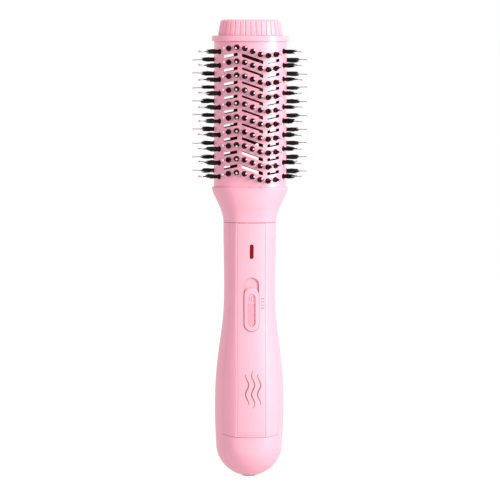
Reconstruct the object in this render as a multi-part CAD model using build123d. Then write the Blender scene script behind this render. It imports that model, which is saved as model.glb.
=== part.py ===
from build123d import *
import math
import os

# Hot air brush. Millimetres. +Z runs up the tool from the cord inlet to the cool tip.
# The switch side of the handle, the front, faces -Y. The origin is the mouth of the cord inlet.

# ---- driving dimensions -------------------------------------------------------------------

TOTAL_LENGTH = 340.0
NECK_SEAM = 189.0          # handle shells end, neck collar starts
BARREL_START = 215.6       # neck collar ends, barrel starts
BARREL_END = 324.0         # barrel ends, tip ring starts
RING_TOP = 328.0
KNOB_BASE = 328.4

WALL = 2.0                 # plastic casing
SEAM = 0.3                 # visible gap between casing pieces
FINE_SEAM = 0.15           # the same along the sides of the front pieces
REACH = 60.0               # beyond every part, for tools that cut right through

# Handle: a turned body, with a flatter, slightly crowned front cut on it.
DOME_RADIUS = 24.6
DOME_HEIGHT = 24.0
HANDLE_PROFILE = [(24.6, 24.0), (25.6, 50.0), (24.6, 79.0), (22.0, 101.0),
                  (20.1, 116.0), (19.1, 150.0), (19.7, 189.0)]
FACET_HALF = 11.8          # half width of the flatter front
CROWN_CENTRE = 22.0        # its crown is struck about an upright axis this far behind the middle
FACET_WALL = 2.8           # wall behind the crowned front, panel included
SHELL_ANGLE = 55.0         # the front pieces reach this far round from the front
CHIN_FRONT = 29.9          # seam of the end cap at the front
CHIN_TILT = 13.4           # degrees the seam rises towards the back

# Air inlet in the back.
GRILLE_HALF = 13.5
GRILLE_LOW = 29.5
GRILLE_HIGH = 54.5

# Front panel, switch and indicator.
PANEL_HALF = 10.3
PANEL_THICK = 1.3
PANEL_BOTTOM = 30.3
PANEL_GROOVES = (31.6, 33.4)   # heights of two fine lines across its foot
SWITCH_WIDTH = 11.5
SWITCH_LOW = 108.2
BUTTON_LENGTH = 32.8
SWITCH_TRAVEL = 7.0
SWITCH_CLEARANCE = 0.3
APRON = 8.6                # the button's flange reaches this far past each end of it
BUTTON_PROUD = 0.9         # the button stands this far out of the front
PAD_WIDTH = 6.0            # thumb pad, a pill-shaped hollow in the button
PAD_LOW = 112.0
PAD_HIGH = 136.4
PAD_DEPTH = 0.9
GRIP_TOP = 129.0           # the diamond grip ends here, and three upright grooves start
TRACK_FLOOR = -13.9        # y of the floor the button slides over
SWITCH_SCREW_HEIGHTS = (110.0, 144.0)
SWITCH_SCREW_TIP = -13.4   # y of the blind end of their holes
LENS_WIDTH = 2.9
LENS_LENGTH = 10.9
LENS_CENTRE = 167.7
LENS_FRONT = -17.2         # y of its face

# Barrel: an oval of four arcs, two broad ones front and back and two tight ones at the sides.
BARREL_HALF_WIDTH = 27.0
BROAD_RADIUS = 50.0
TIGHT_RADIUS = 19.66
ARC_ANGLE = 14.0           # half angle of a broad arc
BROAD_CENTRE = 29.44       # distance of its centre behind the axis
TIGHT_CENTRE = BARREL_HALF_WIDTH - TIGHT_RADIUS
BARREL_WALL = 1.5
CARRIER_GAP = 0.05
CARRIER_WALL = 1.4
NECK_WALL = 2.2
NECK_FADE = 206.0          # height where the crowned front has faded out of the neck

# Tufts: columns across the front, rows down the barrel, on a wave.
TUFT_ROWS = 10
TUFT_PITCH = 10.32
TOP_ROW = 316.3
SIDE_DROP = 0.9            # the side tufts sit this much below half-way between rows
WAVE_HEIGHT = 3.1
WAVE_HALF_LENGTH = 23.4
FRONT_COLUMNS = {0.0: 0.0, 5.85: 2.0, 11.7: 4.0, 17.55: 7.0}   # x: angle from the front
CORNER_COLUMN = (23.9, 57.4)
PEG_RADIUS = 1.98
HOLE_RADIUS = 2.1
TUFT_LENGTH = 10.4
PIN_LENGTH = 16.4
SIDE_SLOTS = [(-20.7, -11.0), (11.2, 20.4)]   # x0, x1
SIDE_SLOT_HEIGHT = 2.3
MIDDLE_SLOT = (-7.9, 4.9, 8.0)                # x where it starts, where it steps down, where it ends
MIDDLE_TOP = 1.0                              # its upper edge, above half-way between rows
MIDDLE_BOTTOMS = [1.6, 0.65, 0.55, 0.5, 0.5, 0.5, 0.9, 1.3, 1.3]   # its lower edge, below, row by row
MIDDLE_STEP = 1.6                             # the same right of the step

# Fan and heater.
DUCT_RADIUS = 18.5
DUCT_START = 56.0
FAN_RADIUS = 17.0
FAN_START = 60.0
FAN_HEIGHT = 12.0
BLADE_COUNT = 7
MOTOR_START = 76.0
MOTOR_LENGTH = 26.0
MOTOR_RADIUS = 12.2
SHAFT_RADIUS = 1.5
LEAD_PASSAGE = (19.6, 8.0) # where the leads pass the duct
HEATER_START = 178.0
HEATER_END = 221.0
HEATER_RADIUS = 12.0

# Screws that close the handle, as (x, z).
SCREW_SITES = [(-12.0, 24.0), (12.0, 24.0), (-15.6, 98.0), (15.6, 98.0), (0.0, 154.0)]
BOSS_SPLIT = 0.8           # y where the front and back bosses meet

# Cord gland.
CORD_RADIUS = 3.4
GLAND_LENGTH = 14.0
GLAND_NECK = 5.0
GLAND_FLANGE = 7.4
SEAT_TOP = 4.0


# ---- shared shapes ------------------------------------------------------------------------

def turned(points):
    """Solid of revolution about Z from a closed outline of (radius, z) points."""
    outline = make_face(Plane.XZ * Polyline(*points, close=True))
    return revolve(outline, Axis.Z)


def tube(outer, inner, low, high):
    """Straight round tube about Z."""
    return turned([(inner, low), (outer, low), (outer, high), (inner, high)])


def rod_y(x, z, radius, y_low, y_high):
    """Round rod along Y."""
    plane = Plane(origin=(x, y_low, z), x_dir=(1, 0, 0), z_dir=(0, 1, 0))
    return extrude(plane * Circle(radius), y_high - y_low)


def slab(x_low, x_high, y_low, y_high, z_low, z_high):
    """Box from its lowest to its highest corner."""
    centre = ((x_low + x_high) / 2, (y_low + y_high) / 2, (z_low + z_high) / 2)
    return Pos(*centre) * Box(x_high - x_low, y_high - y_low, z_high - z_low)


def pill_y(width, length, z_centre, y_low, y_high):
    """Upright rod along Y with a pill-shaped section."""
    plane = Plane(origin=(0, y_low, z_centre), x_dir=(0, 0, 1), z_dir=(0, 1, 0))
    return extrude(plane * SlotOverall(length, width), y_high - y_low)


def oval(offset, z, grow_width=0.0, grow_depth=0.0):
    """Closed wire of the barrel's oval, moved out by offset, at height z.

    grow_width and grow_depth change its half sizes, which the two radii then follow.
    """
    half_width = BARREL_HALF_WIDTH + grow_width
    half_depth = BROAD_RADIUS - BROAD_CENTRE + grow_depth
    sine = math.sin(math.radians(ARC_ANGLE))
    cosine = math.cos(math.radians(ARC_ANGLE))
    span = sine * cosine - (1 - sine) * (1 - cosine)
    broad = (half_width * cosine - half_depth * (1 - sine)) / span
    tight = (half_depth * sine - half_width * (1 - cosine)) / span
    broad_centre = broad - half_depth
    tight_centre = half_width - tight
    broad += offset
    tight += offset
    corner_x = broad * sine
    corner_y = broad * cosine - broad_centre
    front = -(broad - broad_centre)
    right = tight_centre + tight
    arcs = [
        ThreePointArc((-corner_x, -corner_y), (0, front), (corner_x, -corner_y)),
        ThreePointArc((corner_x, -corner_y), (right, 0), (corner_x, corner_y)),
        ThreePointArc((corner_x, corner_y), (0, -front), (-corner_x, corner_y)),
        ThreePointArc((-corner_x, corner_y), (-right, 0), (-corner_x, -corner_y)),
    ]
    return Pos(0, 0, z) * Wire(arcs)


def oval_block(offset, low, high):
    return extrude(Face(oval(offset, low)), high - low, dir=(0, 0, 1))


def oval_tube(outer, inner, low, high):
    return oval_block(outer, low, high) - oval_block(inner, low, high)


def front_depth(radius):
    """Distance from the axis to the middle of the front, where the turned body has this radius."""
    edge_depth = math.sqrt(radius ** 2 - FACET_HALF ** 2)
    return math.hypot(FACET_HALF, CROWN_CENTRE + edge_depth) - CROWN_CENTRE


def crowned(outline):
    """Solid behind a crowned front, from the wire of its side view: points (y, z)."""
    axis = Axis((0, CROWN_CENTRE, 0), (0, 0, 1))
    return revolve(make_face(Plane.YZ * outline), axis)


def behind_front(inset):
    """Everything behind the front, moved in by inset."""
    points = [(inset - front_depth(radius), z) for radius, z in HANDLE_PROFILE]
    bottom = (points[0][0], -10.0)
    top = points[-1]
    edges = [
        Line(bottom, points[0]),
        Spline(*points),
        Line(top, (CROWN_CENTRE, top[1])),
        Line((CROWN_CENTRE, top[1]), (CROWN_CENTRE, -10.0)),
        Line((CROWN_CENTRE, -10.0), bottom),
    ]
    return crowned(Wire(edges))


def handle_body(inset, front_inset):
    """The handle as a solid, moved in by inset all round and by front_inset at its front."""
    radius = DOME_RADIUS - inset
    depth = DOME_HEIGHT - inset
    dome = EllipticalCenterArc((0, DOME_HEIGHT), radius, depth, start_angle=-90, arc_size=90)
    side = Spline(*[(r - inset, z) for r, z in HANDLE_PROFILE])
    top = side @ 1
    edges = [
        dome,
        side,
        Line(top, (0, top.Y)),
        Line((0, top.Y), (0, inset)),
    ]
    body = revolve(make_face(Plane.XZ * Wire(edges)), Axis.Z)
    return body & behind_front(front_inset)


def front_wedge(inset):
    """The space that the front casing pieces take, seen from above, moved in by inset."""
    reach = 60.0
    x = reach * math.sin(math.radians(SHELL_ANGLE))
    y = -reach * math.cos(math.radians(SHELL_ANGLE)) - inset
    points = [(0, -inset), (-x, y), (-x, -2 * reach), (x, -2 * reach), (x, y)]
    face = make_face(Polyline(*points, close=True))
    return Pos(0, 0, -10) * extrude(face, 220.0)


def below_chin_seam(drop):
    """The space under the tilted seam of the end cap, lowered by drop."""
    block = Box(140, 140, 80, align=(Align.CENTER, Align.CENTER, Align.MAX))
    front = front_depth(DOME_RADIUS)
    return Pos(0, -front, CHIN_FRONT - drop) * Rot(CHIN_TILT, 0, 0) * block


# ---- handle casing ------------------------------------------------------------------------

def front_bosses():
    """Solid posts that the screws bite into, from the front wall to the middle."""
    return [rod_y(x, z, 2.8, -40.0, BOSS_SPLIT) for x, z in SCREW_SITES]


def rear_bosses():
    return [rod_y(x, z, 3.4, BOSS_SPLIT + SEAM, 40.0) for x, z in SCREW_SITES]


def screw_seat(x, z):
    """y of the floor of the counterbore at one screw."""
    knots = [(height, radius) for radius, height in HANDLE_PROFILE]
    for (z0, r0), (z1, r1) in zip(knots, knots[1:]):
        if z0 <= z <= z1:
            radius = r0 + (r1 - r0) * (z - z0) / (z1 - z0)
            return math.sqrt(radius ** 2 - x ** 2) - 5.0
    raise ValueError("screw outside the handle")


def casing():
    """The whole handle wall, before it is cut into its pieces."""
    outside = handle_body(0.0, 0.0)
    wall = outside - handle_body(WALL, FACET_WALL)
    seat = tube(9.6, GLAND_NECK + 0.08, 0.0, SEAT_TOP) & outside
    return (wall + seat) - Pos(0, 0, SEAT_TOP / 2) * Cylinder(GLAND_NECK + 0.08, 2 * SEAT_TOP)


def pilot_holes():
    return [rod_y(x, z, 1.0, -9.0, 5.0) for x, z in SCREW_SITES]


def end_cap(wall, outside):
    posts = [post & outside for post in front_bosses()[:2]]
    body = (wall & front_wedge(FINE_SEAM)) + posts
    return (body & below_chin_seam(SEAM)) - pilot_holes()


def switch_track():
    """Block that thickens the wall behind the switch."""
    return slab(-8.6, 8.6, TRACK_FLOOR - 3.0, TRACK_FLOOR + 1.6, 97.0, 160.0)


def twin_ribs(x_low, x_high, y_low, y_high, z_low, z_high):
    """The same rib left and right."""
    right = slab(x_low, x_high, y_low, y_high, z_low, z_high)
    return right + mirror(right, Plane.YZ)


def panel_space(margin):
    """The strip of the front that the panel fills, grown by margin."""
    strip = behind_front(-5.0) - behind_front(PANEL_THICK + 0.05)
    half = PANEL_HALF + margin
    return strip & slab(-half, half, -60.0, 0.0, PANEL_BOTTOM - margin, NECK_SEAM + 5.0)


def handle_front_shell(wall, outside):
    rear_wall = wall - front_wedge(0.0)
    posts = [(post & outside) - rear_wall for post in front_bosses()[2:]]
    ribs = switch_track() + twin_ribs(5.05, 6.5, -14.0, -7.0, 161.0, 173.0)
    body = (wall & front_wedge(FINE_SEAM)) + posts + (ribs & handle_body(0.5, 0.5))
    low = SWITCH_LOW - APRON - 0.5
    high = SWITCH_LOW + BUTTON_LENGTH + SWITCH_TRAVEL + APRON + 0.5
    pocket = slab(-7.1, 7.1, -40.0, TRACK_FLOOR, low, high)
    stem_slot = slab(-2.6, 2.6, -20.0, 0.0, 119.5, 134.5)
    lens_hole = pill_y(LENS_WIDTH + 0.1, LENS_LENGTH + 0.1, LENS_CENTRE, -30.0, -8.0)
    screw_holes = [rod_y(0, z, 1.0, SWITCH_SCREW_TIP, -8.0) for z in SWITCH_SCREW_HEIGHTS]
    tools = [below_chin_seam(0.0), panel_space(FINE_SEAM), pocket, stem_slot, lens_hole]
    return body - tools - screw_holes - pilot_holes()


def grille_opening(margin):
    half = GRILLE_HALF + margin
    return slab(-half, half, 5.0, REACH, GRILLE_LOW - margin, GRILLE_HIGH + margin)


def handle_rear_shell(wall, outside):
    posts = [post & outside for post in rear_bosses()]
    circuit_rails = twin_ribs(12.55, 18.0, 2.0, 6.4, 116.0, 145.0)
    filter_rails = twin_ribs(13.75, 16.5, 14.5, 22.0, GRILLE_LOW, GRILLE_HIGH)
    rails = (circuit_rails + filter_rails) & handle_body(0.5, 0.5)
    body = (wall - front_wedge(0.0)) + posts + rails
    tools = [grille_opening(SEAM)]
    for x, z in SCREW_SITES:
        tools.append(rod_y(x, z, 1.3, -5.0, 60.0))
        tools.append(rod_y(x, z, 2.8, screw_seat(x, z), 60.0))
    return body - tools


def handle_screws():
    """Five pan-head screws, driven from the back."""
    screws = []
    for x, z in SCREW_SITES:
        seat = screw_seat(x, z)
        shank = rod_y(x, z, 0.98, -8.0, seat)
        head = rod_y(x, z, 2.4, seat, seat + 1.8)
        cross = slab(x - 1.5, x + 1.5, seat + 0.9, seat + 2.5, z - 0.3, z + 0.3)
        cross += slab(x - 0.3, x + 0.3, seat + 0.9, seat + 2.5, z - 1.5, z + 1.5)
        screws.append(shank + head - cross)
    return Compound(children=screws)


def front_panel():
    strip = behind_front(0.0) - behind_front(PANEL_THICK)
    body = strip & slab(-PANEL_HALF, PANEL_HALF, -60.0, 0.0, PANEL_BOTTOM, NECK_SEAM - SEAM)
    length = BUTTON_LENGTH + SWITCH_TRAVEL + 2 * SWITCH_CLEARANCE
    opening = pill_y(SWITCH_WIDTH, length, SWITCH_LOW + length / 2, -30.0, 0.0)
    window = pill_y(LENS_WIDTH + 0.1, LENS_LENGTH + 0.1, LENS_CENTRE, -30.0, 0.0)
    skin = behind_front(-1.0) - behind_front(0.25)
    lines = [slab(-9.2, 9.2, -40.0, 0.0, z - 0.2, z + 0.2) & skin for z in PANEL_GROOVES]
    return body - opening - window - lines


def intake_grille(wall):
    """Slotted cover of the air inlet, in the back of the handle."""
    slots = []
    for row in range(6):
        z = GRILLE_LOW + 3.25 + 3.7 * row
        for x in (-8.4, 0.0, 8.4):
            slots.append(Pos(x, 30.0, z) * Box(6.6, 40.0, 2.1))
    return (wall & grille_opening(0.0)) - slots


def intake_filter():
    """Framed mesh behind the inlet."""
    frame = slab(-13.6, 13.6, 16.6, 17.8, GRILLE_LOW, GRILLE_HIGH)
    holes = []
    for row in range(7):
        for column in range(8):
            x = -10.85 + 3.1 * column
            z = GRILLE_LOW + 3.2 + 3.1 * row
            holes.append(Pos(x, 17.2, z) * Box(2.3, 3.0, 2.3))
    return frame - holes


# ---- switch and indicator -----------------------------------------------------------------

def thumb_pad(front_inset, back_inset):
    """Pill-shaped block on the button, between two depths behind the front."""
    middle = (PAD_LOW + PAD_HIGH) / 2
    pill = pill_y(PAD_WIDTH, PAD_HIGH - PAD_LOW, middle, -40.0, TRACK_FLOOR - 1.2)
    block = pill & behind_front(front_inset)
    return block - behind_front(back_inset)


def grip_cuts():
    """Grooves in the floor of the thumb pad: a diamond grip, and upright grooves above it."""
    layer = thumb_pad(PAD_DEPTH - BUTTON_PROUD, PAD_DEPTH - BUTTON_PROUD + 0.4)
    grip = layer & slab(-5.0, 5.0, -40.0, 0.0, PAD_LOW, GRIP_TOP)
    cuts = []
    for step in range(-2, 10):
        for turn in (42, -42):
            groove = Rot(0, turn, 0) * Box(0.55, 60.0, 9.6)
            cuts.append((Pos(0, 0, PAD_LOW + 2.3 * step) * groove) & grip)
    for x in (-1.7, 0.0, 1.7):
        cuts.append(slab(x - 0.3, x + 0.3, -40.0, 0.0, GRIP_TOP + 0.9, PAD_HIGH - 1.6) & layer)
    return [cut for cut in cuts if cut.volume > 0.01]


def switch_button():
    """Thumb slide, with the flange that keeps it under the panel and the stem behind it."""
    width = SWITCH_WIDTH - 2 * SWITCH_CLEARANCE
    length = BUTTON_LENGTH - SWITCH_CLEARANCE
    middle = SWITCH_LOW + SWITCH_CLEARANCE + length / 2
    low = middle - length / 2 - APRON
    high = middle + length / 2 + APRON
    cap = pill_y(width, length, middle, -40.0, TRACK_FLOOR - 1.2) & behind_front(-BUTTON_PROUD)
    front = cap.faces().sort_by(Axis.Y)[0]
    cap = fillet(front.edges(), 0.7)
    cap -= thumb_pad(-10.0, PAD_DEPTH - BUTTON_PROUD)
    flange = slab(-6.7, 6.7, TRACK_FLOOR - 1.2, TRACK_FLOOR - 0.3, low, high)
    under_panel = behind_front(PANEL_THICK + 0.3)
    flange &= under_panel & (Pos(0, 0, -SWITCH_TRAVEL) * under_panel)
    stem = slab(-2.1, 2.1, TRACK_FLOOR - 1.0, -9.8, 121.0, 126.5)
    socket = slab(-1.2, 1.2, TRACK_FLOOR + 0.2, 0.0, 122.3, 125.2)
    return cap + flange + stem - socket - grip_cuts()


def switch_lever():
    """Contact lever of the switch, held in the stem's socket."""
    tongue = slab(-1.15, 1.15, TRACK_FLOOR + 0.3, -6.6, 122.4, 125.1)
    foot = slab(-2.6, 2.6, -6.6, -5.6, 121.6, 125.9)
    return tongue + foot


def switch_body():
    """Slide switch: a box with a slot for its lever and a mounting ear at each end."""
    front = TRACK_FLOOR + 1.6
    box = slab(-7.5, 7.5, front, -2.0, 113.0, 141.0)
    ears = slab(-4.0, 4.0, front, front + 1.4, 107.0, 147.0)
    stem_slot = slab(-2.6, 2.6, front - 1.0, -8.6, 120.0, 134.6)
    lever_slot = slab(-1.6, 1.6, front - 1.0, -4.6, 120.6, 134.0)
    track = slab(-3.1, 3.1, -7.4, -4.6, 120.6, 134.0)
    holes = [rod_y(0, z, 1.3, front - 1.0, -6.0) for z in SWITCH_SCREW_HEIGHTS]
    terminals = []
    for x in (-5, 5):
        for z in (118, 127, 136):
            terminals.append(slab(x - 1.2, x + 1.2, -2.0, 0.2, z, z + 1.0))
    return box + ears + terminals - stem_slot - lever_slot - track - holes


def switch_screws():
    seat = TRACK_FLOOR + 3.0
    screws = []
    for z in SWITCH_SCREW_HEIGHTS:
        shank = rod_y(0, z, 0.98, SWITCH_SCREW_TIP + 0.1, seat)
        head = rod_y(0, z, 2.0, seat, seat + 1.4)
        slot = slab(-2.5, 2.5, seat + 0.8, seat + 2.0, z - 0.3, z + 0.3)
        screws.append(shank + head - slot)
    return Compound(children=screws)


def indicator_lens():
    """Red light window: a pill that stands just proud of the panel, with a flange behind."""
    window = pill_y(LENS_WIDTH, LENS_LENGTH, LENS_CENTRE, LENS_FRONT, -13.2)
    window = fillet(window.faces().sort_by(Axis.Y)[0].edges(), 0.3)
    flange = slab(-3.0, 3.0, -14.2, -12.9, LENS_CENTRE - 7.0, LENS_CENTRE + 7.0)
    return window + (flange & handle_body(WALL + 0.05, FACET_WALL + 0.05))


def led_board():
    return slab(-5.0, 5.0, -8.4, -7.2, 160.0, 174.5)


def indicator_led():
    base = rod_y(0, LENS_CENTRE, 1.9, -9.2, -8.4)
    body = rod_y(0, LENS_CENTRE, 1.5, -10.9, -9.2)
    return base + fillet(body.faces().sort_by(Axis.Y)[0].edges(), 1.2)


# ---- fan, motor and heater ----------------------------------------------------------------

def fan_duct(cavity):
    """Duct round the impeller, with the flange that seals it and the ring that holds the motor."""
    shell = tube(DUCT_RADIUS, DUCT_RADIUS - 1.1, DUCT_START, MOTOR_START + 4.0)
    plate = slab(-40, 40, -40, 40, DUCT_START, DUCT_START + 1.6)
    bore = Pos(0, 0, DUCT_START) * Cylinder(DUCT_RADIUS - 0.5, 10.0)
    flange = (cavity & plate) - bore
    ring = tube(MOTOR_RADIUS + 1.4, MOTOR_RADIUS + 0.05, MOTOR_START - 1.0, MOTOR_START + 4.0)
    vanes = []
    for index in range(6):
        vane = Pos(15.5, 0, MOTOR_START + 1.5) * Rot(20, 0, 0) * Box(5.6, 1.0, 4.0)
        vanes.append(Rot(0, 0, 60 * index + 30) * vane)
    x, y = LEAD_PASSAGE
    notches = [Pos(side * x, y, DUCT_START) * Cylinder(1.7, 10.0) for side in (-1, 1)]
    return shell + flange + ring + vanes - notches


def impeller():
    """Axial fan wheel, pressed on the motor shaft."""
    middle = FAN_START + FAN_HEIGHT / 2
    hub = tube(6.0, SHAFT_RADIUS, FAN_START, FAN_START + FAN_HEIGHT)
    blade = Pos(11.0, 0, middle) * Rot(50, 0, 0) * Box(11.0, 1.1, FAN_HEIGHT)
    envelope = tube(FAN_RADIUS, 4.0, FAN_START, FAN_START + FAN_HEIGHT)
    blades = [(Rot(0, 0, 360 / BLADE_COUNT * index) * blade) & envelope for index in range(BLADE_COUNT)]
    return hub + blades


def motor_can():
    high = MOTOR_START + MOTOR_LENGTH
    shell = Pos(0, 0, MOTOR_START + MOTOR_LENGTH / 2) * Cylinder(MOTOR_RADIUS, MOTOR_LENGTH)
    space = Pos(0, 0, MOTOR_START + MOTOR_LENGTH / 2) * Cylinder(MOTOR_RADIUS - 0.8, MOTOR_LENGTH - 2.0)
    bore = Pos(0, 0, MOTOR_START + MOTOR_LENGTH / 2) * Cylinder(3.0, MOTOR_LENGTH + 2)
    vents = [Rot(0, 0, 90 * n + 45) * Pos(8.5, 0, high) * Box(4.0, 3.0, 4.0) for n in range(4)]
    return shell - space - bore - vents


def motor_bushes():
    low = tube(3.0, SHAFT_RADIUS + 0.05, MOTOR_START, MOTOR_START + 3.0)
    top = MOTOR_START + MOTOR_LENGTH
    high = tube(3.0, SHAFT_RADIUS + 0.05, top - 3.0, top)
    return Compound(children=[low, high])


def motor_magnets():
    """Two curved magnets inside the can."""
    ring = tube(MOTOR_RADIUS - 0.85, 9.3, MOTOR_START + 3.0, MOTOR_START + MOTOR_LENGTH - 3.0)
    right = ring & slab(3.5, 20.0, -20.0, 20.0, 60.0, 120.0)
    left = ring & slab(-20.0, -3.5, -20.0, 20.0, 60.0, 120.0)
    return Compound(children=[right.solid(), left.solid()])


def motor_armature():
    """Three-pole armature and commutator."""
    low = MOTOR_START + 4.5
    core = tube(8.6, SHAFT_RADIUS, low, low + 14.0)
    for index in range(3):
        core -= Rot(0, 0, 120 * index) * Pos(7.4, 0, low + 7.0) * Box(4.0, 1.2, 20.0)
        core -= Rot(0, 0, 120 * index) * Pos(5.6, 0, low + 7.0) * Cylinder(2.0, 20.0)
    commutator = tube(3.2, SHAFT_RADIUS, low + 14.0, low + 17.5)
    return core + commutator


def motor_shaft():
    return Pos(0, 0, 81.0) * Cylinder(SHAFT_RADIUS, 46.0)


def mica_sleeve():
    return tube(HEATER_RADIUS, HEATER_RADIUS - 0.6, HEATER_START, HEATER_END)


def mica_board(turn, slot_low, slot_high):
    """One of two crossed boards: narrow where the coil is wound, wide at its ends."""
    low = HEATER_START + 2.0
    high = HEATER_END - 2.0
    board = slab(-8.6, 8.6, -0.4, 0.4, low, high)
    board += slab(-11.35, 11.35, -0.4, 0.4, low, low + 3.0)
    board += slab(-11.35, 11.35, -0.4, 0.4, high - 3.0, high)
    board -= slab(-0.42, 0.42, -1.0, 1.0, slot_low, slot_high)
    return Rot(0, 0, turn) * board


def heating_coil():
    """Resistance wire wound round the crossed boards."""
    radius = 9.1
    low = HEATER_START + 6.5
    height = 30.0
    path = Pos(0, 0, low) * Helix(pitch=3.0, height=height, radius=radius)
    start = Plane(origin=path @ 0, z_dir=path % 0)
    return sweep(start * Circle(0.4), path=path, is_frenet=True)


def thermostat():
    disc = Pos(1.6, 5.6, 175.0) * Rot(0, 90, 0) * Cylinder(3.6, 2.4)
    tab = slab(0.4, 1.0, 4.0, 7.2, 175.0, 183.0)
    return disc + tab


def thermal_fuse():
    body = Pos(6.4, -0.8, 173.0) * Cylinder(1.3, 8.0)
    leads = Pos(6.4, -0.8, 175.0) * Cylinder(0.4, 15.0)
    return body + leads


# ---- electronics and leads ----------------------------------------------------------------

def circuit_board():
    board = slab(-12.5, 12.5, 3.6, 5.0, 112.5, 149.0)
    return board - [rod_y(x, z, 1.1, 0.0, 8.0) for x in (-10.2, 10.2) for z in (115.0, 146.5)]


def board_capacitor():
    can = Pos(-6.0, 9.3, 132.0) * Cylinder(4.0, 12.0)
    return can + slab(-8.0, -4.0, 5.0, 8.0, 129.0, 135.0)


def board_diodes():
    diodes = []
    for row in range(4):
        z = 119.0 + 7.0 * row
        body = Pos(5.0, 6.6, z) * Rot(0, 90, 0) * Cylinder(1.3, 4.6)
        wire = Pos(5.0, 6.6, z) * Rot(0, 90, 0) * Cylinder(0.35, 9.0)
        feet = [slab(x - 0.35, x + 0.35, 5.0, 6.7, z - 0.35, z + 0.35) for x in (0.9, 9.1)]
        diodes.append(body + wire + feet)
    return Compound(children=diodes)


def lead(side):
    """Insulated lead from above the cord gland, past the fan duct, to the switch."""
    x, y = LEAD_PASSAGE
    points = [
        (side * 2.4, 0.0, 17.0),
        (side * 2.4, 0.0, 27.0),
        (side * x, y, 45.0),
        (side * x, y, 80.0),
        (side * 8.5, 13.8, 96.0),
        (side * 6.0, 13.0, 107.6),
        (side * 5.0, -5.6, 107.6),
        (side * 5.0, -5.6, 113.0),
    ]
    path = FilletPolyline(*points, radius=2.4)
    start = Plane(origin=path @ 0, z_dir=path % 0)
    return sweep(start * Circle(1.0), path=path)


# ---- cord gland ---------------------------------------------------------------------------

def cord_gland():
    """Swivelling gland that the cord leaves through: neck, flange and inner sleeve."""
    outline = [
        (CORD_RADIUS, 0.0), (GLAND_NECK - 0.4, 0.0), (GLAND_NECK, 0.4),
        (GLAND_NECK, SEAT_TOP + 0.3), (GLAND_FLANGE, SEAT_TOP + 0.3), (GLAND_FLANGE, SEAT_TOP + 2.3),
        (GLAND_NECK, SEAT_TOP + 2.3), (GLAND_NECK, GLAND_LENGTH), (CORD_RADIUS, GLAND_LENGTH),
    ]
    return turned(outline)


def gland_retainer():
    """Cup over the gland's flange that keeps it in its seat."""
    outline = [
        (GLAND_FLANGE + 0.3, SEAT_TOP), (GLAND_FLANGE + 1.9, SEAT_TOP),
        (GLAND_FLANGE + 1.9, SEAT_TOP + 4.2), (GLAND_NECK + 0.3, SEAT_TOP + 4.2),
        (GLAND_NECK + 0.3, SEAT_TOP + 2.6), (GLAND_FLANGE + 0.3, SEAT_TOP + 2.6),
    ]
    return turned(outline)


# ---- neck ---------------------------------------------------------------------------------

def neck_loft(inset):
    """Flared solid from the round handle to the oval barrel, moved in by inset."""
    widths = [(NECK_SEAM, 19.7), (194.0, 20.3), (199.0, 21.8), (203.5, 23.75),
              (208.0, 26.0), (212.0, 27.75), (BARREL_START, 28.3)]
    barrel_depth = BROAD_RADIUS - BROAD_CENTRE
    sections = []
    for z, half_width in widths:
        share = (z - NECK_SEAM) / (BARREL_START - NECK_SEAM)
        half_depth = 19.7 + 2.16 * share ** 2 * (3 - 2 * share)
        grow = (half_width - BARREL_HALF_WIDTH, half_depth - barrel_depth)
        sections.append(oval(-inset, z, *grow))
    return Solid.make_loft(sections)


def neck_body(inset):
    """The flare, with the front of the handle fading out up it."""
    bottom = (inset - front_depth(HANDLE_PROFILE[-1][0]), NECK_SEAM)
    top = (inset - 21.3, NECK_FADE)
    start = (bottom[0], NECK_SEAM - 5)
    end = (top[0], BARREL_START + 10)
    edges = [
        Line(start, bottom),
        Spline(bottom, top, tangents=[(0, 1), (-0.15, 1)]),
        Line(top, end),
        Line(end, (CROWN_CENTRE, end[1])),
        Line((CROWN_CENTRE, end[1]), (CROWN_CENTRE, start[1])),
        Line((CROWN_CENTRE, start[1]), start),
    ]
    fade = crowned(Wire(edges))
    fade += slab(-REACH, REACH, -REACH, 0, NECK_FADE, BARREL_START + 10)
    return neck_loft(inset) & fade


def neck_collar():
    outside = neck_body(0.0)
    cavity = neck_body(NECK_WALL)
    seat = outside & slab(-40, 40, -40, 40, NECK_SEAM, NECK_SEAM + 2.5)
    seat -= Pos(0, 0, NECK_SEAM) * Cylinder(15.8, 10.0) & cavity
    sleeve = tube(17.35, 15.8, NECK_SEAM - 7.0, NECK_SEAM + 2.0)
    sleeve -= slab(-30, 30, -30, -12.0, 0, NECK_SEAM + 5)
    seam = (neck_body(-1.0) - neck_body(0.8)) & slab(-40, 40, -40, 40, 0, NECK_SEAM + SEAM)
    ledge = oval_tube(0.2, -3.4, BARREL_START - 2.0, BARREL_START)
    ledge -= oval_tube(0.2, -0.7, BARREL_START - SEAM, BARREL_START)
    spigot = oval_tube(-BARREL_WALL - 0.1, -3.4, BARREL_START - 2.0, BARREL_START + 1.9)
    ribs = []
    for index in range(4):
        rib = slab(HEATER_RADIUS + 0.05, 19.0, -0.9, 0.9, NECK_SEAM + 1.0, NECK_SEAM + 9.0)
        ribs.append((Rot(0, 0, 90 * index + 45) * rib) & outside)
    return (outside - cavity) + seat + sleeve + ledge + spigot + ribs - seam


# ---- barrel and tufts ---------------------------------------------------------------------

def wave(x):
    """Height of the tuft rows above their mean at x."""
    return -WAVE_HEIGHT * math.sin(math.pi * x / WAVE_HALF_LENGTH)


def front_surface(x):
    """y of the barrel's front wall at x."""
    if abs(x) <= BROAD_RADIUS * math.sin(math.radians(ARC_ANGLE)):
        return BROAD_CENTRE - math.sqrt(BROAD_RADIUS ** 2 - x ** 2)
    return -math.sqrt(TIGHT_RADIUS ** 2 - (abs(x) - TIGHT_CENTRE) ** 2)


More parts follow.
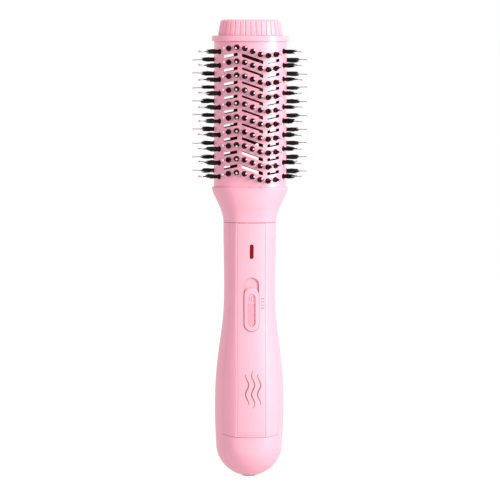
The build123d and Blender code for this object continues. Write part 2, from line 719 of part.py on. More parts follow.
def tuft_place(x, y, z, angle):
    """Frame of one tuft: it grows along the local -Y, which is turned by angle about Z."""
    return Location((x, y, z), (0, 0, angle))


def front_places():
    places = []
    for row in range(TUFT_ROWS):
        for column, angle in FRONT_COLUMNS.items():
            for side in (-1, 1) if column else (1,):
                x = side * column
                z = TOP_ROW - TUFT_PITCH * row + wave(x)
                places.append(tuft_place(x, front_surface(x), z, side * angle))
    return places


def corner_places(side):
    x, angle = CORNER_COLUMN
    places = []
    for row in range(TUFT_ROWS):
        z = TOP_ROW - TUFT_PITCH * row + wave(side * x)
        places.append(tuft_place(side * x, front_surface(x), z, side * angle))
    return places


def side_places(side):
    heights = [TOP_ROW - TUFT_PITCH * (row + 0.5) - SIDE_DROP for row in range(TUFT_ROWS - 1)]
    return [tuft_place(side * BARREL_HALF_WIDTH, 0, z, side * 90) for z in heights]


def tuft():
    """One tuft at the origin: its peg through the wall, its bundle and its long pin."""
    outline = [
        (0.0, 3.2), (PEG_RADIUS, 3.2), (PEG_RADIUS, -0.3), (1.75, -0.5), (2.1, -4.2),
        (1.5, -8.0), (0.35, -TUFT_LENGTH), (0.35, -PIN_LENGTH + 1.2), (0.65, -PIN_LENGTH + 0.9),
        (0.65, -PIN_LENGTH + 0.4), (0.3, -PIN_LENGTH), (0.0, -PIN_LENGTH),
    ]
    face = make_face(Polyline(*outline, close=True))
    return revolve(face, Axis.Y)


def tuft_hole(radius):
    return Rot(90, 0, 0) * Cylinder(radius, 9.0)


def at_places(shape, places):
    return [place * shape for place in places]


def to_rear(shapes):
    return [mirror(shape, Plane.XZ) for shape in shapes]


def tufts_front():
    return Compound(children=at_places(tuft(), front_places()))


def tufts_rear():
    return Compound(children=to_rear(at_places(tuft(), front_places())))


def tufts_side(side):
    corner = at_places(tuft(), corner_places(side))
    return Compound(children=corner + to_rear(corner) + at_places(tuft(), side_places(side)))


def all_holes(radius):
    front = at_places(tuft_hole(radius), front_places() + corner_places(-1) + corner_places(1))
    sides = at_places(tuft_hole(radius), side_places(-1) + side_places(1))
    return front + to_rear(front) + sides


def slot_tool(outline):
    """Cutter for one slot through both walls, from its outline of (x, z) points."""
    face = make_face(Plane.XZ * Polyline(*outline, close=True))
    face = fillet(face.vertices(), 0.35)
    return extrude(Pos(0, -REACH, 0) * face, 2 * REACH, dir=(0, 1, 0))


def side_slot(middle, x0, x1):
    half = SIDE_SLOT_HEIGHT / 2
    z0 = middle + wave(x0)
    z1 = middle + wave(x1)
    return slot_tool([(x0, z0 - half), (x1, z1 - half), (x1, z1 + half), (x0, z0 + half)])


def middle_slot(middle, bottom):
    """The middle slot of a row, whose right end reaches lower where the rest is narrow."""
    x0, x1, x2 = MIDDLE_SLOT
    z0 = middle + wave(x0)
    z2 = middle + wave(x2)
    z1 = z0 + (z2 - z0) * (x1 - x0) / (x2 - x0)
    outline = [(x2, z2 + MIDDLE_TOP), (x0, z0 + MIDDLE_TOP), (x0, z0 - bottom)]
    if MIDDLE_STEP - bottom > 0.8:
        outline += [(x1, z1 - bottom), (x1, z1 - MIDDLE_STEP)]
    return slot_tool(outline + [(x2, z2 - max(bottom, MIDDLE_STEP))])


def slots():
    """Air slots, half-way between the tuft rows and slanted like them."""
    tools = []
    for row, bottom in enumerate(MIDDLE_BOTTOMS):
        middle = TOP_ROW - TUFT_PITCH * (row + 0.5)
        tools += [side_slot(middle, x0, x1) for x0, x1 in SIDE_SLOTS]
        tools.append(middle_slot(middle, bottom))
    return tools


def barrel(slot_tools):
    sleeve = oval_tube(0.0, -BARREL_WALL, BARREL_START, BARREL_END)
    return sleeve - slot_tools - all_holes(HOLE_RADIUS)


def carriers(slot_tools):
    """The four tuft carriers inside the barrel wall: front, rear, left, right."""
    outer = -BARREL_WALL - CARRIER_GAP
    sleeve = oval_tube(outer, outer - CARRIER_WALL, BARREL_START + 2.1, BARREL_END - 2.0)
    sleeve = sleeve - slot_tools - all_holes(PEG_RADIUS)
    split = 20.0
    areas = {
        "carrier_front": slab(-split + 0.1, split - 0.1, -40, 0, 200, 340),
        "carrier_rear": slab(-split + 0.1, split - 0.1, 0, 40, 200, 340),
        "carrier_left": slab(-60, -split - 0.1, -40, 40, 200, 340),
        "carrier_right": slab(split + 0.1, 60, -40, 40, 200, 340),
    }
    return {name: sleeve & area for name, area in areas.items()}


def air_guide():
    """Black core that turns the air out through the slots, closed by a blunt nose.

    Two legs reach down from it to a ring round the top of the heater sleeve.
    """
    outline = [
        (0.0, 246.4), (3.0, 246.4), (12.5, 254.6), (12.5, 324.0), (1.6, 324.0),
        (1.6, 322.4), (11.1, 322.4), (11.1, 255.4), (2.4, 248.0), (0.0, 248.0),
    ]
    legs = twin_ribs(11.8, 14.9, -1.2, 1.2, HEATER_END, 262.0)
    ring = tube(14.9, HEATER_RADIUS + 0.4, HEATER_END - 3.0, HEATER_END + 1.0)
    return turned(outline) + legs + ring


# ---- cool tip -----------------------------------------------------------------------------

RIB_COUNT = 34
KNOB_OFFSET = -2.8
KNOB_TAPER = 10.0


def tip_ring():
    """Flange on top of the barrel."""
    rim = chamfer(oval_block(1.7, BARREL_END, RING_TOP).edges().group_by(Axis.Z)[-1], 0.4)
    land = oval_block(KNOB_OFFSET - 0.5, RING_TOP, KNOB_BASE)
    spigot = oval_tube(-BARREL_WALL - 0.1, -3.0, BARREL_END - 1.8, BARREL_END)
    hole = Pos(0, 0, BARREL_END) * Cylinder(1.6, 20.0)
    hollow = oval_block(-4.5, BARREL_END + 2.0, KNOB_BASE + 1.0)
    return rim + land + spigot - hole - hollow


def knob_block(offset, low, high):
    return extrude(Face(oval(offset, low)), high - low, dir=(0, 0, 1), taper=KNOB_TAPER)


def cool_tip():
    """Ribbed knob at the cool end, hollow, with a post for its screw."""
    height = TOTAL_LENGTH - KNOB_BASE
    body = knob_block(KNOB_OFFSET, KNOB_BASE, TOTAL_LENGTH)
    body = fillet(body.edges().group_by(Axis.Z)[-1], 2.6)
    body -= knob_block(KNOB_OFFSET - 2.2, KNOB_BASE, TOTAL_LENGTH - 2.0)
    base = oval(KNOB_OFFSET, KNOB_BASE)
    cuts = []
    for index in range(RIB_COUNT):
        share = (index + 0.5) / RIB_COUNT
        point = base.position_at(share)
        along = base.tangent_at(share)
        outward = math.degrees(math.atan2(-along.X, along.Y))
        groove = Rot(0, -KNOB_TAPER, 0) * Pos(0.15, 0, 0) * Cylinder(0.7, 2 * height)
        cuts.append(Location(point, (0, 0, outward)) * groove)
    post = tube(3.6, 1.3, BARREL_END + 2.0, TOTAL_LENGTH - 1.5)
    return body - cuts + post


def tip_screw():
    """Screw that holds the tip ring and the air guide to the knob, from inside."""
    head = turned([(0, 320.6), (2.6, 320.6), (3.0, 321.2), (3.0, 322.4), (0, 322.4)])
    shank = turned([(0, 322.4), (1.28, 322.4), (1.28, 333.0), (0, 334.0)])
    return head + shank


# ---- build --------------------------------------------------------------------------------

def build_parts():
    outside = handle_body(0.0, 0.0)
    cavity = handle_body(WALL + 0.05, FACET_WALL + 0.05)
    wall = casing()
    slot_tools = slots()
    parts = {
        "cool_tip": cool_tip(),
        "tip_ring": tip_ring(),
        "tip_screw": tip_screw(),
        "air_guide": air_guide(),
        "barrel": barrel(slot_tools),
        "tufts_front": tufts_front(),
        "tufts_rear": tufts_rear(),
        "tufts_left": tufts_side(-1),
        "tufts_right": tufts_side(1),
        "neck_collar": neck_collar(),
        "mica_sleeve": mica_sleeve(),
        "mica_board_a": mica_board(0, HEATER_START, 199.5),
        "mica_board_b": mica_board(90, 199.5, HEATER_END),
        "heating_coil": heating_coil(),
        "thermostat": thermostat(),
        "thermal_fuse": thermal_fuse(),
        "handle_front_shell": handle_front_shell(wall, outside),
        "handle_rear_shell": handle_rear_shell(wall, outside),
        "end_cap": end_cap(wall, outside),
        "handle_screws": handle_screws(),
        "front_panel": front_panel(),
        "intake_grille": intake_grille(wall),
        "intake_filter": intake_filter(),
        "switch_button": switch_button(),
        "switch_lever": switch_lever(),
        "switch_body": switch_body(),
        "switch_screws": switch_screws(),
        "indicator_lens": indicator_lens(),
        "led_board": led_board(),
        "indicator_led": indicator_led(),
        "fan_duct": fan_duct(cavity),
        "impeller": impeller(),
        "motor_can": motor_can(),
        "motor_bushes": motor_bushes(),
        "motor_magnets": motor_magnets(),
        "motor_armature": motor_armature(),
        "motor_shaft": motor_shaft(),
        "circuit_board": circuit_board(),
        "board_capacitor": board_capacitor(),
        "board_diodes": board_diodes(),
        "lead_live": lead(-1),
        "lead_neutral": lead(1),
        "cord_gland": cord_gland(),
        "gland_retainer": gland_retainer(),
    }
    parts.update(carriers(slot_tools))
    return parts


def main():
    os.makedirs("parts", exist_ok=True)
    for name, shape in build_parts().items():
        export_step(shape, f"parts/{name}.step")


main()
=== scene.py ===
import math
import random

import bmesh
import bpy
import numpy as np
from mathutils import Matrix, Quaternion, Vector
from mathutils.bvhtree import BVHTree


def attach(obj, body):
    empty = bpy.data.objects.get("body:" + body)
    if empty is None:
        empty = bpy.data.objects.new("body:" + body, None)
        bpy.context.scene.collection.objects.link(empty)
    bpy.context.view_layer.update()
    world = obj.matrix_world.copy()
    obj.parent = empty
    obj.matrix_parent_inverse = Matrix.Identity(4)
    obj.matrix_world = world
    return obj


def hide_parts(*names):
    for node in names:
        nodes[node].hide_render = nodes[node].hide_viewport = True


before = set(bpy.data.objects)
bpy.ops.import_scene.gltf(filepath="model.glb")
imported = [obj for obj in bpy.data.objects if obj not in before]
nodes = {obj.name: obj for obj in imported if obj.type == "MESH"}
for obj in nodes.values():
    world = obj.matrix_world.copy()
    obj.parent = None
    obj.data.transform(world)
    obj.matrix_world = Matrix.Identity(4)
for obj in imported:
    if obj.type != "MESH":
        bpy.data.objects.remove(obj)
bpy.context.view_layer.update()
MM = 0.001
scene = bpy.context.scene
scene.view_settings.view_transform = "Standard"
scene.view_settings.look = "None"


# ---- materials ------------------------------------------------------------------------------

def new_material(name):
    mat = bpy.data.materials.new(name)
    mat.use_nodes = True
    tree = mat.node_tree
    tree.nodes.clear()
    out = tree.nodes.new("ShaderNodeOutputMaterial")
    shader = tree.nodes.new("ShaderNodeBsdfPrincipled")
    tree.links.new(shader.outputs["BSDF"], out.inputs["Surface"])
    return mat, tree, shader


def noise(tree, scale, detail=3.0, stretch=(1, 1, 1)):
    coord = tree.nodes.new("ShaderNodeTexCoord")
    mapping = tree.nodes.new("ShaderNodeMapping")
    mapping.inputs["Scale"].default_value = stretch
    tex = tree.nodes.new("ShaderNodeTexNoise")
    tex.inputs["Scale"].default_value = scale
    tex.inputs["Detail"].default_value = detail
    tree.links.new(coord.outputs["Object"], mapping.inputs["Vector"])
    tree.links.new(mapping.outputs["Vector"], tex.inputs["Vector"])
    return tex


def ramp(tree, source, stops):
    node = tree.nodes.new("ShaderNodeValToRGB")
    elements = node.color_ramp.elements
    while len(elements) < len(stops):
        elements.new(0.5)
    for element, (place, color) in zip(elements, stops):
        element.position = place
        element.color = (*color, 1.0)
    tree.links.new(source, node.inputs["Fac"])
    return node.outputs["Color"]


ROUGH_SPREAD = 0.06
BUMP_STRENGTH = 0.35


def surface(name, color, roughness, spread=0.04, grain=2600.0, grain_height=0.006, blotch=60.0,
            metallic=0.0, coat=0.0, coat_roughness=0.1, specular=0.5, stretch=(1, 1, 1)):
    """A moulded, painted or metal surface: slight colour drift, grain in the roughness and a fine bump.

    The grain's height is in millimetres; grain and blotch are noise scales, in cells per metre.
    """
    mat, tree, shader = new_material(name)
    dark = tuple(c * (1 - spread) for c in color)
    light = tuple(min(1.0, c * (1 + spread)) for c in color)
    drift = noise(tree, blotch, 4.0, stretch)
    tinted = ramp(tree, drift.outputs["Fac"], [(0.3, dark), (0.7, light)])
    tree.links.new(tinted, shader.inputs["Base Color"])
    fine = noise(tree, grain, 2.0, stretch)
    low = (max(0.02, roughness - ROUGH_SPREAD),) * 3
    high = (min(1.0, roughness + ROUGH_SPREAD),) * 3
    grained = ramp(tree, fine.outputs["Fac"], [(0.3, low), (0.7, high)])
    tree.links.new(grained, shader.inputs["Roughness"])
    bump = tree.nodes.new("ShaderNodeBump")
    bump.inputs["Strength"].default_value = BUMP_STRENGTH
    bump.inputs["Distance"].default_value = grain_height * MM
    tree.links.new(fine.outputs["Fac"], bump.inputs["Height"])
    tree.links.new(bump.outputs["Normal"], shader.inputs["Normal"])
    shader.inputs["Metallic"].default_value = metallic
    shader.inputs["Specular IOR Level"].default_value = specular
    shader.inputs["Coat Weight"].default_value = coat
    shader.inputs["Coat Roughness"].default_value = coat_roughness
    return mat


# Plastics of the casing and the brush head.
shell_pink = surface("shell_pink", (0.70, 0.295, 0.385), 0.46, spread=0.015, grain=2400, grain_height=0.010)
trim_pink = surface("trim_pink", (0.71, 0.30, 0.39), 0.36, spread=0.012, grain_height=0.004)
barrel_pink = surface("barrel_pink", (0.78, 0.32, 0.43), 0.42, spread=0.02, grain=3200,
                      grain_height=0.004, metallic=0.15, coat=0.25, coat_roughness=0.38)
carrier_black = surface("carrier_black", (0.012, 0.006, 0.008), 0.5, spread=0.2, grain=1800,
                        grain_height=0.01)
lens_red = surface("lens_red", (0.14, 0.0008, 0.0012), 0.30, spread=0.15, blotch=180, grain=1200,
                   grain_height=0.001, specular=0.08, coat=0.1, coat_roughness=0.08)

# Tufts: bristles, the long pins and the balls on their tips.
bristle_black = surface("bristle_black", (0.009, 0.002, 0.004), 0.46, spread=0.3, blotch=900,
                        grain=5000, grain_height=0.004, specular=0.2)
pin_grey = surface("pin_grey", (0.028, 0.008, 0.014), 0.42, spread=0.2, blotch=700, grain=4000,
                   grain_height=0.002, specular=0.25)
tip_pale = surface("tip_pale", (0.72, 0.42, 0.49), 0.38, spread=0.02, blotch=700, grain=3000,
                   grain_height=0.002, coat=0.4)

# Print: the air mark, and the paler position marks.
ink = surface("ink", (0.20, 0.095, 0.115), 0.6, spread=0.08, blotch=900, grain=3500, grain_height=0.003)
ink_pale = surface("ink_pale", (0.22, 0.11, 0.13), 0.6, spread=0.08, blotch=900, grain=3500,
                   grain_height=0.003)

# Inner parts. Stretched grain is brushed metal, windings or mica.
steel = surface("steel", (0.60, 0.60, 0.62), 0.32, spread=0.06, metallic=1.0, grain=1600,
                grain_height=0.003, stretch=(1, 1, 8))
brass = surface("brass", (0.80, 0.60, 0.28), 0.34, spread=0.06, metallic=1.0, grain=1500,
                grain_height=0.003)
magnet = surface("magnet", (0.10, 0.10, 0.11), 0.6, spread=0.2, grain=1500, grain_height=0.01)
armature = surface("armature", (0.48, 0.30, 0.18), 0.42, spread=0.2, metallic=0.9, grain=900,
                   grain_height=0.02, stretch=(1, 1, 12))
mica = surface("mica", (0.70, 0.64, 0.50), 0.45, spread=0.15, blotch=300, grain=900,
               grain_height=0.01, coat=0.2, stretch=(1, 1, 6))
heater_wire = surface("heater_wire", (0.45, 0.42, 0.40), 0.42, spread=0.1, metallic=1.0, grain=2000)
fan_grey = surface("fan_grey", (0.055, 0.058, 0.064), 0.44, spread=0.08, grain=2200, grain_height=0.008)
board_green = surface("board_green", (0.03, 0.16, 0.07), 0.38, spread=0.12, blotch=500, grain=2200,
                      coat=0.4)
component_black = surface("component_black", (0.018, 0.018, 0.02), 0.3, spread=0.12, grain=2200,
                          coat=0.2)
led_clear = surface("led_clear", (0.75, 0.16, 0.15), 0.12, spread=0.05, grain=1000, coat=0.8)
filter_mesh = surface("filter_mesh", (0.50, 0.49, 0.49), 0.6, spread=0.1, grain=1800, grain_height=0.02)
lead_brown = surface("lead_brown", (0.13, 0.055, 0.025), 0.45, spread=0.1, grain=1600)
lead_blue = surface("lead_blue", (0.03, 0.10, 0.36), 0.45, spread=0.1, grain=1600)

FINISHES = [
    (shell_pink, ["neck_collar", "handle_front_shell", "handle_rear_shell", "end_cap", "front_panel",
                  "intake_grille"]),
    (trim_pink, ["cool_tip", "tip_ring", "switch_button"]),
    (barrel_pink, ["barrel"]),
    (carrier_black, ["carrier_front", "carrier_rear", "carrier_left", "carrier_right", "air_guide",
                     "cord_gland"]),
    (steel, ["tip_screw", "handle_screws", "switch_screws", "thermostat", "thermal_fuse", "motor_can",
             "motor_shaft"]),
    (brass, ["switch_lever", "motor_bushes"]),
    (mica, ["mica_sleeve", "mica_board_a", "mica_board_b"]),
    (heater_wire, ["heating_coil"]),
    (magnet, ["motor_magnets"]),
    (armature, ["motor_armature"]),
    (fan_grey, ["fan_duct", "impeller", "gland_retainer"]),
    (board_green, ["led_board", "circuit_board"]),
    (component_black, ["switch_body", "board_capacitor", "board_diodes"]),
    (lens_red, ["indicator_lens"]),
    (led_clear, ["indicator_led"]),
    (filter_mesh, ["intake_filter"]),
    (lead_brown, ["lead_live"]),
    (lead_blue, ["lead_neutral"]),
]
for mat, members in FINISHES:
    for name in members:
        node = nodes[name]
        node.data.materials.clear()
        node.data.materials.append(mat)


# ---- mesh helpers ---------------------------------------------------------------------------

def linked(name, data):
    """A new object in the scene."""
    obj = bpy.data.objects.new(name, data)
    scene.collection.objects.link(obj)
    return obj


def piece(name, verts, faces, mat, smooth=True):
    """A mesh object from lists, riding on the brush."""
    mesh = bpy.data.meshes.new(name)
    mesh.from_pydata([tuple(v) for v in verts], [], faces)
    mesh.materials.append(mat)
    mesh.polygons.foreach_set("use_smooth", [smooth] * len(mesh.polygons))
    mesh.update()
    obj = linked(name, mesh)
    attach(obj, "brush")
    return obj


def tube_rings(centres, radii, sides):
    """Verts and faces of a closed tube along points, capped at both ends."""
    verts, faces = [], []
    count = len(centres)
    for index in range(count):
        ahead = centres[min(index + 1, count - 1)] - centres[max(index - 1, 0)]
        ahead = ahead / np.linalg.norm(ahead)
        side = np.cross(ahead, (0.0, 0.0, 1.0))
        if np.linalg.norm(side) < 1e-6:
            side = np.array((1.0, 0.0, 0.0))
        side = side / np.linalg.norm(side)
        up = np.cross(side, ahead)
        for step in range(sides):
            angle = 2 * math.pi * step / sides
            verts.append(centres[index] + radii[index] * (math.cos(angle) * side + math.sin(angle) * up))
    for index in range(count - 1):
        for step in range(sides):
            a = index * sides + step
            b = index * sides + (step + 1) % sides
            faces.append((a, b, b + sides, a + sides))
    faces.append(tuple(range(sides))[::-1])
    faces.append(tuple(range((count - 1) * sides, count * sides)))
    return np.array(verts), faces


# ---- eased creases --------------------------------------------------------------------------

# The neck and the end cap flow into the flatter front without an edge. Their skins are measured
# as a height field about the axis (or about the middle of the dome), smoothed, and put back.
# Lengths here are in millimetres, and a turn is an angle from the front.
TURNS = np.radians(np.arange(-70, 71, 1.0))
EASED_TURN = math.radians(66)
FADE_TURN = math.radians(12)
ROW_STEP = 0.5
ROW_MARGIN = 0.3
FADE_ROWS = 8.0
SMOOTHING_PASSES = 150
SMOOTHING_RATE = 0.2
ALONG_WEIGHT = 0.5
RAY_START = 80.0
FACING_OUT = -0.6           # largest cosine between an inward ray and the normal of the skin it hits
SKIN_DEPTH = 0.25
LONGEST_EDGE = 1.1
MOST_CUTS = 7
SHARP_EDGE = math.radians(28)

# The neck's rows are heights. The end cap's run along the arc of its dome, up from the middle's height.
NECK_ROWS = np.arange(189.4, 215.2, ROW_STEP)
NECK_LEAST = 15.0
DOME_ROWS = np.arange(-31.0, 7.01, ROW_STEP)
DOME_LEAST = 21.0
DOME_MIDDLE = 24.0
DOME_RADIUS = 24.0


def to_skin(point, middle):
    """Turn from the front, row and distance of a point. A dome's rows run along its arc."""
    x, y, z = point
    flat = math.hypot(x, y)
    turn = math.atan2(x, -y)
    if middle is None:
        return turn, z, flat
    return turn, DOME_RADIUS * math.atan2(z - middle, flat), math.hypot(flat, z - middle)


def from_skin(turn, row, dist, middle):
    """The point at a turn, row and distance."""
    flat, z = dist, row
    if middle is not None:
        flat = dist * math.cos(row / DOME_RADIUS)
        z = middle + dist * math.sin(row / DOME_RADIUS)
    return Vector((flat * math.sin(turn), -flat * math.cos(turn), z))


def measured_skin(tree, rows, middle, least):
    """Distance of the outer surface over the grid of turns and rows, and where it is known.

    A hit nearer the middle than least is an inner part of the piece, such as a screw post.
    """
    dist = np.zeros((len(rows), len(TURNS)))
    for i, row in enumerate(rows):
        for j, turn in enumerate(TURNS):
            start = from_skin(turn, row, RAY_START, middle)
            inward = from_skin(turn, row, 0.0, middle) - start
            hit, normal, _, length = tree.ray_cast(start, inward)
            if hit is None or normal.dot(inward.normalized()) >= FACING_OUT:
                continue
            if RAY_START - length > least:
                dist[i, j] = RAY_START - length
    return dist, dist > 0


def smoothed_skin(dist, known):
    """Even the skin out, less and less towards its ends."""
    out = dist.copy()
    from_start = np.cumsum(known, axis=0)
    from_end = np.cumsum(known[::-1], axis=0)[::-1]
    rows_in = np.minimum(from_start, from_end) - 1
    along = np.clip(rows_in / FADE_ROWS, 0, 1) * ALONG_WEIGHT
    for _ in range(SMOOTHING_PASSES):
        change = np.zeros_like(out)
        for axis, weight in ((0, along), (1, 1.0)):
            for step in (1, -1):
                near = np.roll(out, step, axis)
                both = known & np.roll(known, step, axis)
                end = [slice(None), slice(None)]
                end[axis] = 0 if step == 1 else -1
                both[tuple(end)] = False
                change += np.where(both, SMOOTHING_RATE * weight * (near - out), 0)
        out += change
    return out


def read_skin(field, known, rows, turn, row):
    """A field's value between its grid points, or 0 where nothing is known."""
    u = min(max((turn - TURNS[0]) / (TURNS[1] - TURNS[0]), 0), len(TURNS) - 1.001)
    v = min(max((row - rows[0]) / (rows[1] - rows[0]), 0), len(rows) - 1.001)
    i, j = int(v), int(u)
    cells = [(i, j, (1 - v + i) * (1 - u + j)), (i, j + 1, (1 - v + i) * (u - j)),
             (i + 1, j, (v - i) * (1 - u + j)), (i + 1, j + 1, (v - i) * (u - j))]
    total = sum(w for a, b, w in cells if known[a, b])
    if total < 1e-6:
        return 0.0
    return sum(w * field[a, b] for a, b, w in cells if known[a, b]) / total


def refine(bm, on_skin):
    """Cut the skin's long edges in half until none is left."""
    for _ in range(MOST_CUTS):
        skin = {v for v in bm.verts if on_skin(v)}
        faces = [f for f in bm.faces if all(v in skin for v in f.verts)]
        edges = {e for f in faces for e in f.edges if e.calc_length() > LONGEST_EDGE}
        if not edges:
            break
        bmesh.ops.subdivide_edges(bm, edges=list(edges), cuts=1)
        bmesh.ops.triangulate(bm, faces=[f for f in bm.faces if len(f.verts) > 3])


def eased(name, rows, middle, least):
    """Stand-in for a node with its creases smoothed out."""
    node = nodes[name]
    bm = bmesh.new()
    bm.from_mesh(node.data)
    bmesh.ops.scale(bm, vec=(1 / MM, 1 / MM, 1 / MM), verts=bm.verts)
    bmesh.ops.remove_doubles(bm, verts=bm.verts, dist=1e-4)
    bmesh.ops.triangulate(bm, faces=bm.faces)
    before, known = measured_skin(BVHTree.FromBMesh(bm), rows, middle, least)
    after = smoothed_skin(before, known)

    def on_skin(vert):
        turn, row, dist = to_skin(vert.co, middle)
        inside = abs(turn) < EASED_TURN and rows[0] - ROW_MARGIN < row < rows[-1] + ROW_MARGIN
        return inside and abs(dist - read_skin(before, known, rows, turn, row)) < SKIN_DEPTH

    refine(bm, on_skin)
    for vert in [v for v in bm.verts if on_skin(v)]:
        turn, row, dist = to_skin(vert.co, middle)
        share = min(1.0, (EASED_TURN - abs(turn)) / FADE_TURN)
        wanted = read_skin(after, known, rows, turn, row)
        vert.co = from_skin(turn, row, dist + share * (wanted - dist), middle)
    bmesh.ops.scale(bm, vec=(MM, MM, MM), verts=bm.verts)
    mesh = bpy.data.meshes.new(f"{name}_eased")
    bm.to_mesh(mesh)
    bm.free()
    mesh.materials.append(node.data.materials[0])
    mesh.polygons.foreach_set("use_smooth", [True] * len(mesh.polygons))
    mesh.set_sharp_from_angle(angle=SHARP_EDGE)
    obj = linked(f"{name}_eased", mesh)
    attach(obj, "brush")
    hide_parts(name)


eased("neck_collar", NECK_ROWS, None, NECK_LEAST)
eased("end_cap", DOME_ROWS, DOME_MIDDLE, DOME_LEAST)


# ---- tufts ----------------------------------------------------------------------------------

# The tuft places of the CAD model, in millimetres. A column is its distance to the side and the
# angle that its tufts turn away from the front.
ROWS = 10
PITCH = 10.32
TOP_ROW = 316.3
SIDE_DROP = 0.9
COLUMNS = [(0.0, 0.0), (5.85, 2.0), (11.7, 4.0), (17.55, 7.0)]
CORNER = (23.9, 57.4)
WAVE_HEIGHT = 3.1
WAVE_HALF_LENGTH = 23.4

# The barrel's oval: a broad arc over the front, and a tight one round each side.
BROAD_RADIUS = 50.0
BROAD_CENTRE = 29.44
BROAD_TURN = math.radians(14.0)
TIGHT_RADIUS = 19.66
TIGHT_CENTRE = 7.34
HALF_WIDTH = 27.0

# A tuft grows out from its plug, which is given as (y, radius) in the tuft's frame.
BUNDLES = 9
BRISTLES = 26
BRISTLE_LENGTHS = (8.3, 10.3)
TUFT_RADIUS = 1.35
TUFT_SIZES = (0.88, 1.08)
PLUG = [(2.8, 1.94), (-0.22, 1.94), (-0.42, 1.80), (-0.55, 1.45)]
ROOT_Y = -0.3
PIN_REACH = 15.2
PIN_BOW = 0.03              # reach lost with the square of the lean
PIN_RADII = [0.38, 0.35, 0.31, 0.27, 0.24]
PIN_SWAY = (0.45, 0.6)
BALL_SIZE = (0.76, 0.80, 0.76)
BALL_OUT = 0.05

# How far the ball of a front or rear pin stands to the side and above its root, column by column.
LEANS = {-17.55: (-3.3, 0.1), -11.7: (-0.6, -0.6), -5.85: (0.4, 0.4), 0.0: (0.0, 0.5), 5.85: (-0.5, 0.5),
         11.7: (0.6, 0.2), 17.55: (1.6, 0.1)}


def wave(x):
    """Height of a row's tuft above the row's middle."""
    return -WAVE_HEIGHT * math.sin(math.pi * x / WAVE_HALF_LENGTH)


def front_y(x):
    """The barrel's front surface at a distance to the side."""
    if abs(x) <= BROAD_RADIUS * math.sin(BROAD_TURN):
        return BROAD_CENTRE - math.sqrt(BROAD_RADIUS ** 2 - x ** 2)
    return -math.sqrt(TIGHT_RADIUS ** 2 - (abs(x) - TIGHT_CENTRE) ** 2)


def place(x, y, z, angle):
    """A tuft's frame at a point, turned about the upright axis by degrees."""
    return Matrix.Translation((x, y, z)) @ Matrix.Rotation(math.radians(angle), 4, "Z")


def tuft_places():
    """Each group's frames: a tuft grows along its local -Y."""
    flip = Matrix.Diagonal((1, -1, 1, 1))
    front, left, right = [], [], []
    for row in range(ROWS):
        z = TOP_ROW - PITCH * row
        for x, angle in COLUMNS:
            for side in (-1, 1) if x else (1,):
                front.append(place(side * x, front_y(x), z + wave(side * x), side * angle))
        for side, group in ((-1, left), (1, right)):
            x, angle = CORNER
            group.append(place(side * x, front_y(x), z + wave(side * x), side * angle))
    rear = [flip @ m for m in front]
    left += [flip @ m for m in left]
    right += [flip @ m for m in right]
    for row in range(ROWS - 1):
        z = TOP_ROW - PITCH * (row + 0.5) - SIDE_DROP
        left.append(place(-HALF_WIDTH, 0, z, -90))
        right.append(place(HALF_WIDTH, 0, z, 90))
    return {"front": front, "rear": rear, "left": left, "right": right}


def bristle(rng):
    """One bristle of a bundle, in the tuft's frame: bellied out, then drawn in to a fine end."""
    turn = rng.uniform(0, 2 * math.pi)
    root = TUFT_RADIUS * math.sqrt(rng.random())
    belly = root * rng.uniform(1.05, 1.3) + rng.uniform(0.0, 0.25)
    end = root * rng.uniform(0.5, 1.2) + rng.uniform(0.0, 0.4)
    length = rng.uniform(*BRISTLE_LENGTHS) - 0.5 * root
    drift = rng.uniform(-0.35, 0.35)
    sag = rng.uniform(-0.3, 0.3)
    stations = [(-0.05, root, 0.27), (0.2, (root + belly) / 2, 0.28), (0.5, belly, 0.28),
                (0.82, (belly + end) / 2, 0.22), (1.0, end, 0.05)]
    centres, radii = [], []
    for share, spread, thick in stations:
        angle = turn + drift * share
        centres.append((spread * math.cos(angle), ROOT_Y - length * share,
                        spread * math.sin(angle) + sag * share ** 2))
        radii.append(thick)
    return tube_rings(np.array(centres), radii, 5)


def bundle(rng):
    """A plug with its bristles."""
    centres = np.array([(0.0, y, 0.0) for y, _ in PLUG])
    plug = tube_rings(centres, [radius for _, radius in PLUG], 20)
    verts, faces, base = [], [], 0
    for part_verts, part_faces in [plug] + [bristle(rng) for _ in range(BRISTLES)]:
        verts.append(part_verts)
        faces += [tuple(i + base for i in face) for face in part_faces]
        base += len(part_verts)
    return np.vstack(verts), faces


def pin(rng, lean):
    """The long pin's line, in the tuft's frame, and where its ball sits."""
    lean_x, lean_z = (middle + rng.uniform(-sway, sway) for middle, sway in zip(lean, PIN_SWAY))
    reach = PIN_REACH - PIN_BOW * (lean_x ** 2 + lean_z ** 2)
    shares = np.linspace(0.0, 1.0, len(PIN_RADII))
    points = [(lean_x * share, ROOT_Y - reach * share, lean_z * share) for share in shares]
    return tube_rings(np.array(points), PIN_RADII, 6), points[-1]


def wanted_lean(matrix):
    """The lean of the pin in a tuft's frame. The pins at the corners and sides stand straight."""
    return LEANS.get(round(matrix.translation.x, 2), (0.0, 0.0))


def unit_ball():
    bm = bmesh.new()
    bmesh.ops.create_uvsphere(bm, u_segments=12, v_segments=8, radius=1.0)
    verts = np.array([v.co for v in bm.verts])
    faces = [tuple(v.index for v in f.verts) for f in bm.faces]
    bm.free()
    return verts, faces


def moved(verts, matrix):
    m = np.array(matrix, float)
    return verts @ m[:3, :3].T + m[:3, 3]


class Gathered:
    """Verts and faces of many like parts, joined into one piece."""

    def __init__(self):
        self.verts, self.faces, self.count = [], [], 0

    def add(self, verts, faces, mirrored):
        self.verts.append(verts)
        for face in faces:
            face = tuple(i + self.count for i in face)
            self.faces.append(face[::-1] if mirrored else face)
        self.count += len(verts)

    def made(self, name, mat, slot):
        return piece(name, np.vstack(self.verts) * MM, self.faces, mat)


